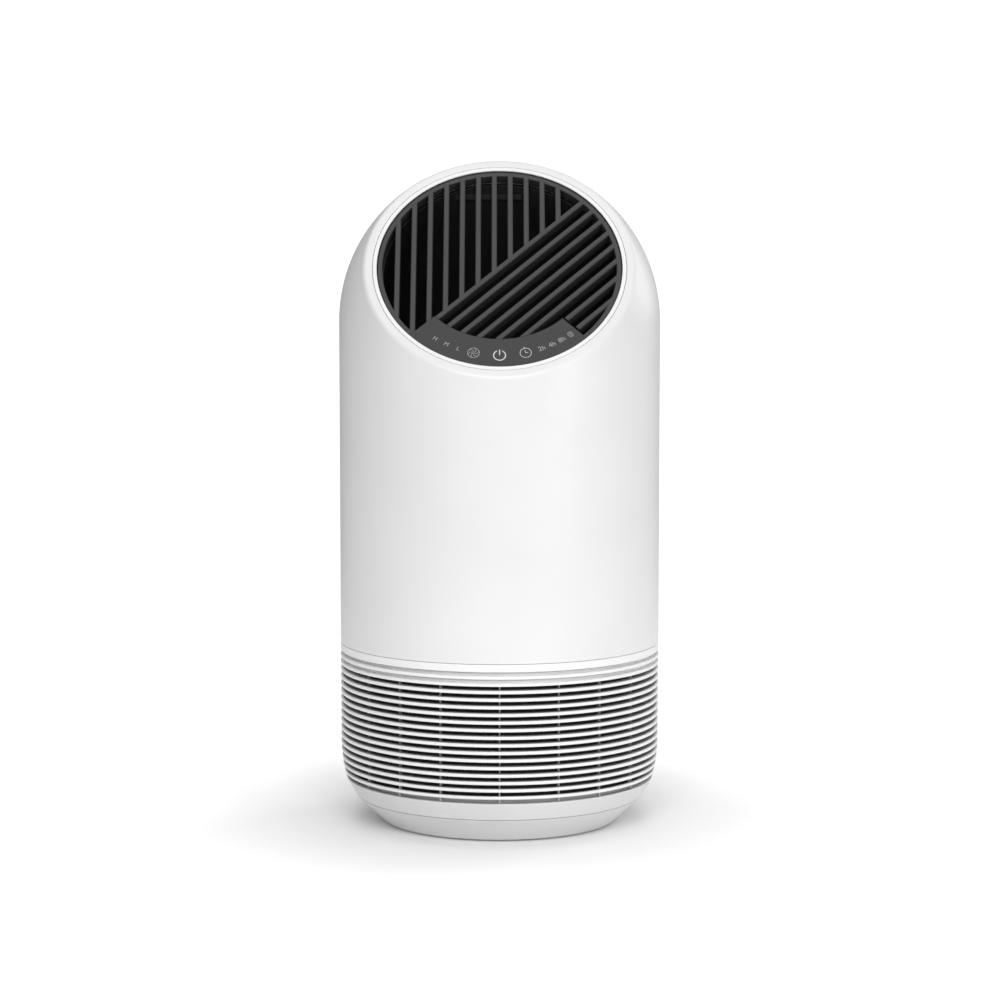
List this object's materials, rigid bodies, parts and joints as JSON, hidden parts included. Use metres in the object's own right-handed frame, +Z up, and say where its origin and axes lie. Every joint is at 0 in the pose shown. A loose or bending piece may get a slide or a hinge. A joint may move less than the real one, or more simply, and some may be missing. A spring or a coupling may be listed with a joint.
{
  "type": "air purifier",
  "caption": "Cylindrical room air purifier with a slanted top outlet grille and touch panel, a slatted intake ring, and a filter cartridge drawn from below.",
  "frame": {"origin": "on the floor, at the centre of the round body", "axes": "+Z up along the body's axis, -Y towards the front, where the slanted outlet faces, +X to the viewer's right when facing the front"},
  "size_m": [0.21, 0.21, 0.4345],
  "materials": {
    "housing_white": "satin white moulded ABS",
    "trim_white": "satin white moulded ABS",
    "base_white": "satin white moulded ABS",
    "grille_grey": "fine-grained dark grey ABS",
    "touch_face": "smooth dark grey with printed light grey symbols",
    "circuit_board": "solder mask",
    "duct_plastic": "matte dark moulded plastic",
    "dark_plastic": "matte black moulded plastic",
    "fan_plastic": "glass-filled dark grey plastic",
    "cream_plastic": "cream nylon",
    "steel": "zinc-plated",
    "motor_steel": "plated pressed steel",
    "rotor_steel": "dark laminated steel",
    "copper_winding": "enamelled copper wire",
    "aluminium": "extruded",
    "rubber": "soft black",
    "cable": "PVC insulation",
    "filter_cap": "light grey moulded polyurethane",
    "filter_paper": "pleated melt-blown paper",
    "prefilter_mesh": "fine nylon mesh",
    "carbon": "granular activated carbon in felt",
    "foam": "closed-cell foam",
    "ribbon": "woven ribbon"
  },
  "bodies": {
    "housing": {"air_duct": "duct_plastic", "base_ring": "base_white", "bearing_lower": "steel", "bearing_upper": "steel", "board_connector": "cream_plastic", "board_screw_1": "steel", "board_screw_2": "steel", "board_screw_3": "steel", "board_screw_4": "steel", "deck_screw_1": "steel", "deck_screw_2": "steel", "deck_screw_3": "steel", "deck_screw_4": "steel", "diffuser": "duct_plastic", "fan_casing": "duct_plastic", "fan_deck": "duct_plastic", "heat_sink": "aluminium", "inlet_guard": "dark_plastic", "intake_grille": "trim_white", "main_board": "circuit_board", "main_capacitor": "dark_plastic", "motor_damper_1": "rubber", "motor_damper_2": "rubber", "motor_damper_3": "rubber", "motor_housing": "motor_steel", "motor_lead": "cable", "motor_screw_1": "steel", "motor_screw_2": "steel", "motor_screw_3": "steel", "motor_stator": "copper_winding", "outlet_bezel": "trim_white", "outlet_grille": "grille_grey", "panel_lead": "cable", "power_coil": "copper_winding", "power_socket": "dark_plastic", "socket_lead": "cable", "touch_board": "circuit_board", "touch_panel": "touch_face", "upper_housing": "housing_white"},
    "fan": {"impeller": "fan_plastic", "impeller_nut": "steel", "motor_shaft": "steel", "motor_rotor": "rotor_steel"},
    "filter": {"filter_bottom_cap": "filter_cap", "filter_top_cap": "filter_cap", "filter_media": "filter_paper", "prefilter_sleeve": "prefilter_mesh", "carbon_core": "carbon", "filter_gasket": "foam", "filter_pull_tab": "ribbon"},
    "cover": {"bottom_cover": "base_white", "foot_pad_1": "rubber", "foot_pad_2": "rubber", "foot_pad_3": "rubber", "foot_pad_4": "rubber"}
  },
  "joints": [
    {"name": "fan_spin", "type": "hinge", "parent": "housing", "child": "fan", "pos_m": [0, 0, 0.131], "axis": [0, 0, 1], "continuous": true},
    {"name": "filter_pull", "type": "slide", "parent": "housing", "child": "filter", "axis": [0, 0, -1], "range_m": [0, 0.1]},
    {"name": "cover_twist", "type": "hinge", "parent": "filter", "child": "cover", "pos_m": [0, 0, 0.01], "axis": [0, 0, 1], "range_deg": [0, 22]}
  ]
}
